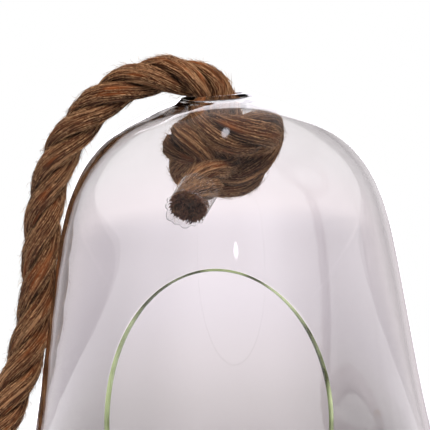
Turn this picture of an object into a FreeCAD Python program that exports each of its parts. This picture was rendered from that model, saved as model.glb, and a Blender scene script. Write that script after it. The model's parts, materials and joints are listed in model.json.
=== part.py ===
import FreeCAD, Part

import math
import os

# A bell-shaped glass vase that hangs on a thick rope. Millimetres, +Z up, the origin at the centre of
# the base. The oval opening faces -Y, and the rope leaves the crown and comes down on the -X side.

os.makedirs("parts", exist_ok=True)
Vector = FreeCAD.Vector

# Driving sizes of the glass
vessel_height = 225.0
belly_radius = 88.0
foot_radius = 58.0
crown_radius = 13.0
hole_radius = 10.8
side_wall = 2.3
crown_wall = 2.8
heel_wall = 3.4
base_thickness = 4.6
foot_ring_width = 14.0
punt_rise = 1.6
hole_edge_round = 0.5

# The oval opening, as it is seen from the front, and the rounding of its fire-polished edge. The wedge
# that cuts it goes from one share of belly_radius to the other.
opening_height = 110.0
opening_width = 82.0
opening_centre_z = 108.5
opening_edge_round = 0.7
cutter_start_share = 0.5
cutter_end_share = 1.1
oval_points = 32

# The outer line of the bell from the crown down to the heel: (share of belly_radius, share of height)
bell_shares = [
    (0.222, 0.987),
    (0.328, 0.970),
    (0.488, 0.932),
    (0.631, 0.855),
    (0.714, 0.733),
    (0.785, 0.556),
    (0.872, 0.390),
    (0.962, 0.272),
    (1.000, 0.180),
    (0.930, 0.062),
]

# The heights, as shares of vessel_height, where the glass has the wall of its crown, side and heel
crown_wall_shares = [0.965, 0.930]
side_wall_shares = [0.860, 0.740, 0.560, 0.390, 0.270, 0.180]
heel_wall_shares = [0.100, 0.050]

# Driving sizes of the rope
rope_diameter = 14.0
knot_rope_diameter = 12.0
tape_gap = 0.3
tape_thickness = 0.5
tape_length = 12.0

# The overhand knot: its middle, and its line in shares of rope_diameter from there, from the standing
# part down through the knot to the end that points to the front
knot_centre_x = 5.0
knot_below_crown = 21.5
knot_line_shares = [
    (-0.24, 0.06, 0.45),
    (-0.24, 0.06, 0.04),
    (-0.27, -0.10, -0.40),
    (-0.45, -0.51, -0.66),
    (-0.88, -0.86, -0.54),
    (-1.38, -0.72, -0.26),
    (-1.66, -0.22, -0.10),
    (-1.60, 0.36, -0.14),
    (-1.22, 0.84, -0.34),
    (-0.62, 1.12, -0.55),
    (0.25, 1.15, -0.64),
    (1.10, 0.75, -0.62),
    (1.56, 0.00, -0.50),
    (1.55, -0.80, -0.02),
    (1.05, -1.28, 0.42),
    (0.10, -1.30, 0.60),
    (-0.80, -0.90, 0.78),
    (-1.26, 0.00, 0.80),
    (-0.95, 0.90, 0.56),
    (-0.15, 1.25, 0.40),
    (0.60, 1.00, 0.40),
    (0.90, 0.34, 0.25),
    (0.66, -0.44, -0.06),
    (0.28, -1.12, -0.42),
    (-0.14, -1.54, -0.85),
]
tail_length = 17.0

# The tie round the coil
tie_gap = 0.3
tie_thickness = 0.8
tie_width = 9.0

# The free rope goes on straight from the knot to just under the crown's top. From there its route runs
# over the left shoulder and down to the surface that the vase stands on, where it lies as high as the
# coil, whose tie is under it.
straight_below_crown = 0.8
lying_height = 0.5 * rope_diameter + tie_gap + tie_thickness
run_route = [
    (-7.2, 0.8, 234.3),
    (-26.0, 2.5, 233.4),
    (-43.5, 5.0, 226.0),
    (-57.5, 8.0, 212.5),
    (-66.5, 11.0, 195.0),
    (-70.5, 13.5, 175.0),
    (-72.5, 14.5, 153.0),
    (-76.0, 13.0, 131.5),
    (-83.5, 8.5, 111.5),
    (-91.5, 1.5, 92.5),
    (-98.0, -6.5, 74.0),
    (-102.5, -14.0, 55.5),
    (-105.0, -19.5, 38.5),
    (-106.0, -20.5, 23.5),
    (-106.0, -14.5, 11.5),
    (-106.0, -2.5, lying_height),
    (-106.0, 9.5, lying_height),
]

# The put-away coil: a flat spiral of quarter turns that draws in by the same step each time
coil_radius = 86.0
coil_pitch = 17.2
coil_quarters = 7

# Every arc of a route takes this share of the shorter run beside it
arc_share = 0.45

# How finely heights are looked up and gaps are measured, and how near an edge is to the size looked for
halvings = 50
gap_samples = 400
match_share = 0.1


def save(name, shape):
    """Write one piece, and say what it is."""
    shape.exportStep(f"parts/{name}.step")
    print(name, "solids", len(shape.Solids), "valid", shape.isValid(), "volume", round(shape.Volume))


def ring_face(edges):
    """A flat face inside a closed run of edges."""
    return Part.Face(Part.Wire(Part.__sortEdges__(edges)))


def line(start, end):
    """A straight edge."""
    return Part.LineSegment(start, end).toShape()


def smooth_line(points, start, end):
    """A smooth line through points, with the unit directions in which it starts and ends."""
    curve = Part.BSplineCurve()
    curve.interpolate(Points=points, InitialTangent=start, FinalTangent=end, Scale=False)
    return curve


def bell_curve():
    """The outer line of the glass in the XZ plane, from the crown's edge to the foot."""
    points = [Vector(crown_radius, 0, vessel_height)]
    for radius_share, height_share in bell_shares:
        points.append(Vector(radius_share * belly_radius, 0, height_share * vessel_height))
    points.append(Vector(foot_radius, 0, 0))
    return smooth_line(points, Vector(1, 0, -1).normalize(), Vector(-1, 0, 0))


def at_height(curve, height):
    """The curve's parameter where it comes down to a height, by halving."""
    low, high = curve.FirstParameter, curve.LastParameter
    for _ in range(halvings):
        middle = 0.5 * (low + high)
        if curve.value(middle).z > height:
            low = middle
        else:
            high = middle
    return 0.5 * (low + high)


def inner_curves(outer):
    """The inner line of the glass: the wall from the axis under the crown down to the heel, and the
    hollow of the heel from there to the edge of the flat floor."""
    points = [Vector(0, 0, vessel_height - crown_wall)]
    stations = [(share, crown_wall) for share in crown_wall_shares]
    stations += [(share, side_wall) for share in side_wall_shares]
    stations += [(share, heel_wall) for share in heel_wall_shares]
    for height_share, wall in stations:
        place = at_height(outer, height_share * vessel_height)
        along = outer.tangent(place)[0]
        inward = Vector(along.z, 0, -along.x).normalize()
        points.append(outer.value(place) + inward * wall)
    floor_edge = Vector(foot_radius, 0, base_thickness)
    wall_curve = smooth_line(points, Vector(1, 0, 0), along)
    heel_curve = smooth_line([points[-1], floor_edge], along, Vector(-1, 0, 0))
    return wall_curve, heel_curve


def opening_cutter(outer):
    """A wedge with the oval as its section, whose sides all run towards the vase's axis."""
    near_axis = cutter_start_share * belly_radius
    past_wall = cutter_end_share * belly_radius
    rings = []
    for distance in (near_axis, past_wall):
        points = []
        for step in range(oval_points):
            angle = 2 * math.pi * step / oval_points
            height = opening_centre_z + 0.5 * opening_height * math.sin(angle)
            across = 0.5 * opening_width * math.cos(angle)
            radius = outer.value(at_height(outer, height)).x
            sideways = across / math.sqrt(radius**2 - across**2)
            points.append(Vector(distance * sideways, -distance, height))
        ring = Part.BSplineCurve()
        ring.interpolate(Points=points, PeriodicFlag=True)
        rings.append(Part.Wire([ring.toShape()]))
    return Part.makeLoft(rings, True, True)


def make_glass_vessel():
    """The blown bell with the ground hole in its crown and the oval opening in its front."""
    axis_foot = Vector(0, 0, 0)
    up = Vector(0, 0, 1)
    outer = bell_curve()
    ring_inner = foot_radius - foot_ring_width
    punt_radius = (ring_inner**2 + punt_rise**2) / (2 * punt_rise)
    half_way = 0.5 * ring_inner
    half_way_rise = punt_rise - punt_radius + math.sqrt(punt_radius**2 - half_way**2)
    punt_top = Vector(0, 0, punt_rise)
    punt_middle = Vector(half_way, 0, half_way_rise)
    punt_edge = Vector(ring_inner, 0, 0)
    crown_edge = Vector(crown_radius, 0, vessel_height)
    crown_middle = Vector(0, 0, vessel_height)
    foot_edge = Vector(foot_radius, 0, 0)
    body = ring_face(
        [
            Part.Arc(punt_top, punt_middle, punt_edge).toShape(),
            line(punt_edge, foot_edge),
            outer.toShape(),
            line(crown_edge, crown_middle),
            line(crown_middle, punt_top),
        ]
    ).revolve(axis_foot, up, 360)
    wall_curve, heel_curve = inner_curves(outer)
    floor_edge = Vector(foot_radius, 0, base_thickness)
    floor_middle = Vector(0, 0, base_thickness)
    hollow = ring_face(
        [
            wall_curve.toShape(),
            heel_curve.toShape(),
            line(floor_edge, floor_middle),
            line(floor_middle, Vector(0, 0, vessel_height - crown_wall)),
        ]
    ).revolve(axis_foot, up, 360)
    hole = Part.makeCylinder(hole_radius, 3 * crown_wall, Vector(0, 0, vessel_height - 2 * crown_wall))
    glass = body.cut(hollow).cut(hole)
    rim = [edge for edge in glass.Edges if on_hole(edge)]
    glass = glass.makeFillet(hole_edge_round, rim)
    glass = glass.cut(opening_cutter(outer))
    oval = [edge for edge in glass.Edges if on_opening(edge)]
    print("glass_vessel rounded edges", len(rim), len(oval))
    return glass.makeFillet(opening_edge_round, oval)


def on_hole(edge):
    """Whether an edge is one of the two level circles round the crown's hole."""
    box = edge.BoundBox
    level = box.ZLength < match_share * crown_wall
    on_wall = abs(box.XMax - hole_radius) < match_share * hole_radius
    return level and on_wall and box.YLength > hole_radius


def on_opening(edge):
    """Whether an edge goes round the oval opening."""
    box = edge.BoundBox
    centred = abs(box.ZMax + box.ZMin - 2 * opening_centre_z) < match_share * opening_height
    return centred and box.YMax < -hole_radius and edge.Length > opening_width


def route_path(points):
    """Straight runs joined by arcs, each as large as its two runs allow. Gives the wire, its length
    and its least radius."""
    edges = []
    length = 0.0
    least = math.inf
    start = points[0]
    for before, corner, after in zip(points, points[1:], points[2:]):
        into = corner - before
        out = after - corner
        tangent = arc_share * min(into.Length, out.Length)
        turn = into.getAngle(out)
        radius = tangent / math.tan(0.5 * turn)
        into.normalize()
        out.normalize()
        arc_start = corner - into * tangent
        arc_end = corner + out * tangent
        inward = (out - into).normalize()
        arc_middle = corner + inward * (radius / math.cos(0.5 * turn) - radius)
        edges.append(Part.LineSegment(start, arc_start).toShape())
        edges.append(Part.Arc(arc_start, arc_middle, arc_end).toShape())
        length += (arc_start - start).Length + radius * turn
        least = min(least, radius)
        start = arc_end
    edges.append(Part.LineSegment(start, points[-1]).toShape())
    length += (points[-1] - start).Length
    return Part.Wire(edges), length, least


def tube(path, diameter):
    """A round solid along a wire."""
    first = path.Edges[0]
    start = first.valueAt(first.FirstParameter)
    heading = first.tangentAt(first.FirstParameter)
    section = Part.Wire([Part.Circle(start, heading, 0.5 * diameter).toShape()])
    return path.makePipeShell([section], True, False)


def least_gap(path, length, diameter):
    """The least gap between stretches of a tube that lie over two diameters apart along it."""
    points = path.discretize(gap_samples)
    skip = int(2 * diameter * gap_samples / length)
    gap = math.inf
    for index, point in enumerate(points):
        for other in points[index + skip :]:
            gap = min(gap, (other - point).Length - diameter)
    return gap


def report_tube(name, solid, length, diameter, least):
    """Compare a tube's volume with its section times its length."""
    share = solid.Volume / (math.pi * (0.5 * diameter) ** 2 * length)
    print(name, "length", round(length, 1), "least radius", round(least, 1), "volume share", round(share, 4))


def knot_points():
    """The knot's line in its place under the crown."""
    centre = Vector(knot_centre_x, 0, vessel_height - knot_below_crown)
    return [centre + Vector(*place) * rope_diameter for place in knot_line_shares]


def make_rope_knot():
    """The overhand knot, one unbroken tube."""
    path, length, least = route_path(knot_points())
    knot = tube(path, knot_rope_diameter)
    report_tube("rope_knot", knot, length, knot_rope_diameter, least)
    print("rope_knot least gap to itself", round(least_gap(path, length, knot_rope_diameter), 2))
    return knot


def tail_heading():
    """Where the knot's line ends, and the way that the tail goes on from there."""
    points = knot_points()
    return points[-1], (points[-1] - points[-2]).normalize()


def make_rope_tail():
    """The short cut end below the knot."""
    start, heading = tail_heading()
    return Part.makeCylinder(0.5 * rope_diameter, tail_length, start, heading)


def tape_sleeve(end, heading):
    """A thin film round the last stretch of the rope that ends at a point."""
    inner = 0.5 * rope_diameter + tape_gap
    start = end - heading * tape_length
    sleeve = Part.makeCylinder(inner + tape_thickness, tape_length, start, heading)
    return sleeve.cut(Part.makeCylinder(inner, tape_length, start, heading))


def make_tail_tape():
    """The clear tape round the tail's cut end."""
    start, heading = tail_heading()
    return tape_sleeve(start + heading * tail_length, heading)


def make_rope_run():
    """The free rope from the knot to the coil."""
    start = knot_points()[0]
    in_hole = Vector(start.x, start.y, vessel_height - straight_below_crown)
    path, length, least = route_path([start, in_hole] + [Vector(*place) for place in run_route])
    run = tube(path, rope_diameter)
    report_tube("rope_run", run, length, rope_diameter, least)
    return run


def coil_centre():
    """The middle of the coil's first quarter turn. The rope comes in along +Y at its right side."""
    last = Vector(*run_route[-1])
    return last + Vector(-coil_radius, rope_diameter, 0)


def coil_path():
    """One diameter straight, the quarter turns, and one diameter straight."""
    centre = coil_centre()
    step = 0.25 * coil_pitch
    radius = coil_radius
    outward = Vector(1, 0, 0)
    onward = Vector(0, 1, 0)
    start = centre + outward * radius
    edges = [Part.LineSegment(start - onward * rope_diameter, start).toShape()]
    length = 2 * rope_diameter
    for _ in range(coil_quarters):
        middle = centre + (outward + onward).normalize() * radius
        end = centre + onward * radius
        edges.append(Part.Arc(start, middle, end).toShape())
        length += 0.5 * math.pi * radius
        centre = centre + onward * step
        radius -= step
        outward, onward = onward, outward * -1
        start = end
    end = start + onward * rope_diameter
    edges.append(Part.LineSegment(start, end).toShape())
    return Part.Wire(edges), length, radius + step, end, onward


def make_rope_coil():
    """The put-away length, one unbroken tube."""
    path, length, least, _, _ = coil_path()
    coil = tube(path, rope_diameter)
    report_tube("rope_coil", coil, length, rope_diameter, least)
    print("rope_coil least gap to itself", round(least_gap(path, length, rope_diameter), 2))
    return coil


def make_far_end_tape():
    """The clear tape round the rope's far end, inside the coil."""
    _, _, _, end, heading = coil_path()
    return tape_sleeve(end, heading)


def slot_prism(half_spacing, radius, centre):
    """A block of stadium section round two ropes that lie side by side, tie_width long in X."""
    left = centre - Vector(0.5 * tie_width, 0, 0)
    above = Vector(0, 0, radius)
    side = Vector(0, half_spacing, 0)
    bulge = Vector(0, half_spacing + radius, 0)
    edges = [
        line(left - side + above, left + side + above),
        Part.Arc(left + side + above, left + bulge, left + side - above).toShape(),
        line(left + side - above, left - side - above),
        Part.Arc(left - side - above, left - bulge, left - side + above).toShape(),
    ]
    return ring_face(edges).extrude(Vector(tie_width, 0, 0))


def make_coil_tie():
    """The band that holds the two turns together at the back of the coil."""
    centre = coil_centre() + Vector(0, coil_radius - 0.5 * coil_pitch, 0)
    inner = 0.5 * rope_diameter + tie_gap
    band = slot_prism(0.5 * coil_pitch, inner + tie_thickness, centre)
    return band.cut(slot_prism(0.5 * coil_pitch, inner, centre))


save("glass_vessel", make_glass_vessel())
save("rope_knot", make_rope_knot())
save("rope_tail", make_rope_tail())
save("tail_tape", make_tail_tape())
save("rope_run", make_rope_run())
save("rope_coil", make_rope_coil())
save("coil_tie", make_coil_tie())
save("far_end_tape", make_far_end_tape())
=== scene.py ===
import json
import logging
import math
from dataclasses import dataclass, field
from enum import Enum
from functools import cache

import bmesh
import bpy
import numpy as np
from mathutils import Matrix, Vector

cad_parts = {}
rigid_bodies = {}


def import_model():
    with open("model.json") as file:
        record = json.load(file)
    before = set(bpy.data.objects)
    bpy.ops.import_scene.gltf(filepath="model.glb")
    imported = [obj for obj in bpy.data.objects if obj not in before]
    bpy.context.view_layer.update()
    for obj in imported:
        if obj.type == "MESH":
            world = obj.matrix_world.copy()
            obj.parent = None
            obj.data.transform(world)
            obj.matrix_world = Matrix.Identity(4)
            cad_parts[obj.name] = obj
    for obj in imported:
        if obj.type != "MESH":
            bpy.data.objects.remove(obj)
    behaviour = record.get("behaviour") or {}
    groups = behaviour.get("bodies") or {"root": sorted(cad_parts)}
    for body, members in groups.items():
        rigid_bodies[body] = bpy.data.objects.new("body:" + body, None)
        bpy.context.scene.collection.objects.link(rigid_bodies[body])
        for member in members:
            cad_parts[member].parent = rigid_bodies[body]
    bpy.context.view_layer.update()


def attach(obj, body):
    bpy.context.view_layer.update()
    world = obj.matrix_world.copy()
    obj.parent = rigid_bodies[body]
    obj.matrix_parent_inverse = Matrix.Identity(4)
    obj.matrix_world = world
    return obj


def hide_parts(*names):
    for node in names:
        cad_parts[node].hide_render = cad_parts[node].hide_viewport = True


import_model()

LOG = logging.getLogger("bell_vase")
MM = 0.001
FULL_TURN = 2 * math.pi
QUARTER_TURN = 0.5 * math.pi
WHITE = (1.0, 1.0, 1.0, 1.0)
Screen = tuple[int, int, int]
Linear = tuple[float, float, float, float]
Place = tuple[float, float, float]
Socket = bpy.types.NodeSocket
Object = bpy.types.Object


class Body(Enum):
    """The CAD bodies that pieces ride on."""

    VESSEL = "vessel"
    ROPE = "rope"


class Slot(Enum):
    """The record's material slots."""

    GLASS = "glass"
    ROPE = "rope"
    TAPE = "tape"
    TIE = "tie"


# ---------------------------------------------------------------------------------------------------
# Lines and meshes


def smoothstep(low: float, high: float, value: np.ndarray) -> np.ndarray:
    """A smooth rise from 0 where the value is low to 1 where it is high."""
    t = np.clip((value - low) / (high - low), 0.0, 1.0)
    return t * t * (3.0 - 2.0 * t)


def unit(rows: np.ndarray) -> np.ndarray:
    """The rows of an array, each made a unit long."""
    return rows / np.linalg.norm(rows, axis=1)[:, None]


def lengths_along(points: np.ndarray) -> np.ndarray:
    """The length along a line of points at each of them, from 0 at the first."""
    return np.concatenate([[0.0], np.cumsum(np.linalg.norm(np.diff(points, axis=0), axis=1))])


def ring_turns(count: int) -> np.ndarray:
    """Even angles round a ring, from 0."""
    return FULL_TURN * np.arange(count) / count


def outward(azimuth: float, elevation: float) -> Vector:
    """The direction out from the vase, in degrees to the right of the front and above the level."""
    turn, rise = math.radians(azimuth), math.radians(elevation)
    return Vector((math.sin(turn) * math.cos(rise), -math.cos(turn) * math.cos(rise), math.sin(rise)))


def rightward(azimuth: float) -> Vector:
    """The level direction to the right for a viewer at that azimuth, in degrees."""
    return Vector((math.cos(math.radians(azimuth)), math.sin(math.radians(azimuth)), 0.0))


def clamped_spline(knots: np.ndarray, start: np.ndarray, end: np.ndarray, count: int) -> np.ndarray:
    """A cubic spline through points by chord length, with the way it starts and ends.

    Args:
        knots: The points, one a row.
        start: The unit direction at the first point.
        end: The unit direction at the last point.
        count: How many points to return.

    Returns:
        Points on the spline, evenly spaced in its parameter.
    """
    t = lengths_along(knots)
    n = len(knots)
    matrix = np.eye(n)
    right = np.zeros_like(knots)
    right[0], right[-1] = start, end
    for i in range(1, n - 1):
        before, after = t[i] - t[i - 1], t[i + 1] - t[i]
        matrix[i, i - 1 : i + 2] = after, 2 * (before + after), before
        rise = (knots[i] - knots[i - 1]) * after / before + (knots[i + 1] - knots[i]) * before / after
        right[i] = 3 * rise
    slopes = np.linalg.solve(matrix, right)
    place = np.linspace(0, t[-1], count)
    i = np.clip(np.searchsorted(t, place, side="right") - 1, 0, n - 2)
    step = (t[i + 1] - t[i])[:, None]
    u = (place - t[i])[:, None] / step
    return (
        (2 * u**3 - 3 * u**2 + 1) * knots[i]
        + (u**3 - 2 * u**2 + u) * step * slopes[i]
        + (3 * u**2 - 2 * u**3) * knots[i + 1]
        + (u**3 - u**2) * step * slopes[i + 1]
    )


def even_steps(points: np.ndarray, step: float) -> np.ndarray:
    """Place points on a line at even steps.

    Args:
        points: The line.
        step: The wanted distance between neighbours.

    Returns:
        The new points.
    """
    along = lengths_along(points)
    places = np.linspace(0, along[-1], max(2, int(round(along[-1] / step)) + 1))
    return np.stack([np.interp(places, along, points[:, k]) for k in range(points.shape[1])], axis=1)


def mesh_object(name: str, points: np.ndarray, faces: list[tuple[int, ...]]) -> Object:
    """Make a smooth-shaded mesh object at the origin.

    Args:
        name: The object's name.
        points: Its vertices, in metres.
        faces: Its faces, as vertex numbers.

    Returns:
        The new object.
    """
    mesh = bpy.data.meshes.new(name)
    mesh.from_pydata(points.tolist(), [], faces)
    mesh.polygons.foreach_set("use_smooth", [True] * len(mesh.polygons))
    mesh.update()
    return linked(name, mesh)


def linked(name: str, data: bpy.types.ID) -> Object:
    """Make an object and link it to the scene.

    Args:
        name: The object's name.
        data: What it shows.

    Returns:
        The new object.
    """
    obj = bpy.data.objects.new(name, data)
    bpy.context.scene.collection.objects.link(obj)
    return obj


def announce(obj: Object) -> Object:
    """Report a finished piece through the log, and hand it on."""
    LOG.info("%s, %d faces", obj.name, len(obj.data.polygons))
    return obj


def turn_outward(obj: Object) -> None:
    """Turn the faces of a closed mesh outward.

    Args:
        obj: The mesh object.
    """
    work = bmesh.new()
    work.from_mesh(obj.data)
    bmesh.ops.recalc_face_normals(work, faces=work.faces)
    work.to_mesh(obj.data)
    work.free()


@dataclass
class Skin:
    """A closed mesh in the making: rings of points, and bands of faces between them."""

    points: list[np.ndarray] = field(default_factory=list)
    faces: list[tuple[int, ...]] = field(default_factory=list)
    count: int = 0

    def ring(self, places: np.ndarray) -> list[int]:
        """Add points.

        Args:
            places: The points, one a row.

        Returns:
            Their vertex numbers.
        """
        self.points.append(places)
        self.count += len(places)
        return list(range(self.count - len(places), self.count))

    def band(self, first: list[int], second: list[int], turned: bool = False) -> None:
        """Join two rings by quads.

        Args:
            first: The vertex numbers of one ring.
            second: Those of the other.
            turned: Whether the quads go the other way round.
        """
        for k, m in enumerate([*range(1, len(first)), 0]):
            quad = (first[k], first[m], second[m], second[k])
            self.faces.append(quad[::-1] if turned else quad)

    def tube(self, rows: np.ndarray) -> None:
        """Add a tube with a cap at each end.

        Args:
            rows: Its points, by row and side.
        """
        rings = [self.ring(row) for row in rows]
        for first, second in zip(rings, rings[1:]):
            self.band(first, second)
        self.faces += [tuple(rings[0])[::-1], tuple(rings[-1])]

    def build(self, name: str) -> Object:
        """Make the mesh object, under that name."""
        return mesh_object(name, np.concatenate(self.points), self.faces)


# ---------------------------------------------------------------------------------------------------
# Finishes


def rgb(red: int, green: int, blue: int) -> Linear:
    """A colour as it shows on a screen, made linear.

    Args:
        red: Its red, from 0 to 255.
        green: Its green.
        blue: Its blue.

    Returns:
        The linear colour.
    """
    parts = [c / 255 for c in (red, green, blue)]
    linear = [c / 12.92 if c <= 0.04045 else ((c + 0.055) / 1.055) ** 2.4 for c in parts]
    return (linear[0], linear[1], linear[2], 1.0)


class Nodes:
    """A node tree with short calls for adding and joining nodes."""

    def __init__(self, tree: bpy.types.NodeTree) -> None:
        """Start on a node tree, and empty it."""
        self.tree = tree
        tree.nodes.clear()

    def add(self, kind: str, inputs: dict | None = None, **settings: object) -> bpy.types.Node:
        """Add a node.

        Args:
            kind: The node's type name.
            inputs: Values or output sockets for its inputs, by name or number.
            settings: Attributes of the node.

        Returns:
            The node.
        """
        node = self.tree.nodes.new(kind)
        for key, value in settings.items():
            setattr(node, key, value)
        for key, value in (inputs or {}).items():
            if isinstance(value, Socket):
                self.tree.links.new(value, node.inputs[key])
            else:
                node.inputs[key].default_value = value
        return node

    def out(self, kind: str, inputs: dict | None = None, **settings: object) -> Socket:
        """Add a node, as add() does, and return its first output."""
        return self.add(kind, inputs, **settings).outputs[0]

    def math(self, operation: str, *values: object) -> Socket:
        """The result of a Math node's operation on values or sockets."""
        return self.out("ShaderNodeMath", dict(enumerate(values)), operation=operation)

    def mix(self, factor: object, first: object, second: object, blend: str = "MIX") -> Socket:
        """The result of a colour mix, by factor, from the first colour to the second."""
        inputs = {0: factor, 6: first, 7: second}
        return self.add("ShaderNodeMix", inputs, data_type="RGBA", blend_type=blend).outputs[2]

    def pick(self, factor: object, first: Socket, second: Socket) -> Socket:
        """The result of a Mix Shader, by factor, from the first shader to the second."""
        return self.out("ShaderNodeMixShader", {0: factor, 1: first, 2: second})

    def spread(self, value: object, low: float, high: float, to_low: object, to_high: object) -> Socket:
        """A value's place between low and high, clamped and carried over to another range."""
        return self.out("ShaderNodeMapRange", {0: value, 1: low, 2: high, 3: to_low, 4: to_high}, clamp=True)

    def xyz(self, *parts: object) -> Socket:
        """A vector of up to three values or sockets."""
        return self.out("ShaderNodeCombineXYZ", dict(enumerate(parts)))

    def noise(self, place: Socket, scale: float, detail: float, roughness: float = 0.5) -> Socket:
        """A noise's value at a place, with its scale, its detail and the roughness of that detail."""
        inputs = {"Vector": place, "Scale": scale, "Detail": detail, "Roughness": roughness}
        return self.out("ShaderNodeTexNoise", inputs)

    def object_noise(self, scale: float, detail: float) -> Socket:
        """A noise in the object's own space, with its scale and its detail."""
        return self.noise(self.add("ShaderNodeTexCoord").outputs["Object"], scale, detail)

    def dot(self, direction: Socket, axis: Vector) -> Socket:
        """How far a direction goes along an axis."""
        inputs = {0: direction, 1: axis}
        return self.add("ShaderNodeVectorMath", inputs, operation="DOT_PRODUCT").outputs["Value"]

    def ramp(self, value: Socket, stops: list[tuple[float, Linear]], interpolation: str = "LINEAR") -> Socket:
        """A colour ramp over a value.

        Args:
            value: The value.
            stops: The value and the colour of each stop, from low to high.
            interpolation: How the ramp goes from stop to stop.

        Returns:
            The colour.
        """
        low, high = stops[0][0], stops[-1][0]
        node = self.add("ShaderNodeValToRGB", {0: self.spread(value, low, high, 0.0, 1.0)})
        node.color_ramp.interpolation = interpolation
        elements = node.color_ramp.elements
        elements[0].position, elements[0].color = 0.0, stops[0][1]
        elements[1].position, elements[1].color = 1.0, stops[-1][1]
        for at, color in stops[1:-1]:
            elements.new((at - low) / (high - low)).color = color
        return node.outputs[0]

    def past_lamps(self, surface: Socket, clear: Socket) -> Socket:
        """A surface that shadow rays and diffuse rays find clear, so that light goes through it."""
        path = self.add("ShaderNodeLightPath").outputs
        return self.pick(self.math("MAXIMUM", path["Is Shadow Ray"], path["Is Diffuse Ray"]), surface, clear)


def new_group(
    name: str, kind: str, inputs: dict[str, str], outputs: dict[str, str]
) -> tuple[bpy.types.NodeTree, Nodes, bpy.types.bpy_prop_collection]:
    """Start a node group.

    Args:
        name: Its name.
        kind: Its type name.
        inputs: The sort of each input, by name.
        outputs: The sort of each output, by name.

    Returns:
        The tree, its nodes, and the sockets that its inputs come from.
    """
    tree = bpy.data.node_groups.new(name, kind)
    for way, labels in (("INPUT", inputs), ("OUTPUT", outputs)):
        for label, sort in labels.items():
            tree.interface.new_socket(label, in_out=way, socket_type="NodeSocket" + sort)
    n = Nodes(tree)
    return tree, n, n.add("NodeGroupInput").outputs


@cache
def fibre_group() -> bpy.types.NodeTree:
    """Fibres that run along a laid strand, from its UV map: x is metres along, y is once round it.

    Returns:
        The node group, with colours and sizes as inputs, and Color, Roughness and Height as outputs.
    """
    colors = dict.fromkeys(("Shade", "Body", "Pale", "Rust"), "Color")
    sizes = dict.fromkeys(("Streaks round", "Streak length", "Rust share", "Hollow"), "Float")
    outputs = {"Color": "Color", "Roughness": "Float", "Height": "Float"}
    tree, n, put_in = new_group("bast_fibres", "ShaderNodeTree", colors | sizes, outputs)
    parts = n.add("ShaderNodeSeparateXYZ", {0: n.out("ShaderNodeUVMap", uv_map="laid")}).outputs
    along = n.math("DIVIDE", parts[0], put_in["Streak length"])
    around = n.math("MULTIPLY", parts[1], put_in["Streaks round"])
    fine = n.noise(n.xyz(along, around), 1.0, 4.0, 0.62)
    # fibres that cross the others at a slant, one way and the other
    for shear, shift in ((4.2, 11.0), (-4.2, 17.0)):
        slant = n.math("ADD", around, n.math("MULTIPLY", along, shear))
        crossing = n.noise(n.xyz(n.math("MULTIPLY", along, 1.2), slant, shift), 1.0, 3.0, 0.6)
        fine = n.math("MAXIMUM", fine, n.math("SUBTRACT", crossing, 0.02))
    broad = n.noise(n.xyz(n.math("MULTIPLY", along, 0.35), n.math("MULTIPLY", around, 0.45), 7.0), 1.0, 2.0)
    patch = n.noise(n.xyz(n.math("MULTIPLY", along, 0.6), n.math("MULTIPLY", around, 0.12), 3.0), 1.0, 1.0)
    color = n.mix(n.spread(fine, 0.44, 0.62, 0.0, 1.0), put_in["Shade"], put_in["Body"])
    color = n.mix(n.spread(broad, 0.52, 0.74, 0.0, 0.75), color, put_in["Pale"])
    color = n.mix(n.spread(fine, 0.61, 0.73, 0.0, 0.95), color, put_in["Pale"])
    rusty = n.math("MULTIPLY", n.spread(patch, 0.56, 0.70, 0.0, 1.0), put_in["Rust share"])
    color = n.mix(rusty, color, put_in["Rust"])
    # painted shade: the colour is darkened deep in the grooves between strands and between yarns, where shade
    # falls
    groove = n.add("ShaderNodeAttribute", attribute_name="groove").outputs["Fac"]
    painted_groove_shade = n.math("MULTIPLY", n.spread(groove, 0.0, 1.0, 0.0, 1.0), put_in["Hollow"])
    color = n.mix(painted_groove_shade, color, n.mix(1.0, color, (0.16, 0.13, 0.11, 1.0), "MULTIPLY"))
    height = n.math("ADD", n.math("MULTIPLY", fine, 0.7), n.math("MULTIPLY", broad, 0.3))
    rough = n.spread(fine, 0.3, 0.7, 0.92, 0.66)
    n.add("NodeGroupOutput", {"Color": color, "Roughness": rough, "Height": height})
    return tree


@dataclass(frozen=True)
class Finish:
    """What a piece is made of."""

    name: str

    @cache
    def material(self) -> bpy.types.Material:
        """Build the material once.

        Returns:
            The material.
        """
        mat = bpy.data.materials.new(self.name)
        mat.use_nodes = True
        n = Nodes(mat.node_tree)
        n.add("ShaderNodeOutputMaterial", dict(enumerate(self.shaders(n))))
        return mat

    def shaders(self, n: Nodes) -> list[Socket]:
        """Build the material's nodes.

        Args:
            n: The material's node tree.

        Returns:
            The shader of the surface, and that of the inside if there is one.
        """
        raise NotImplementedError


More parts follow.
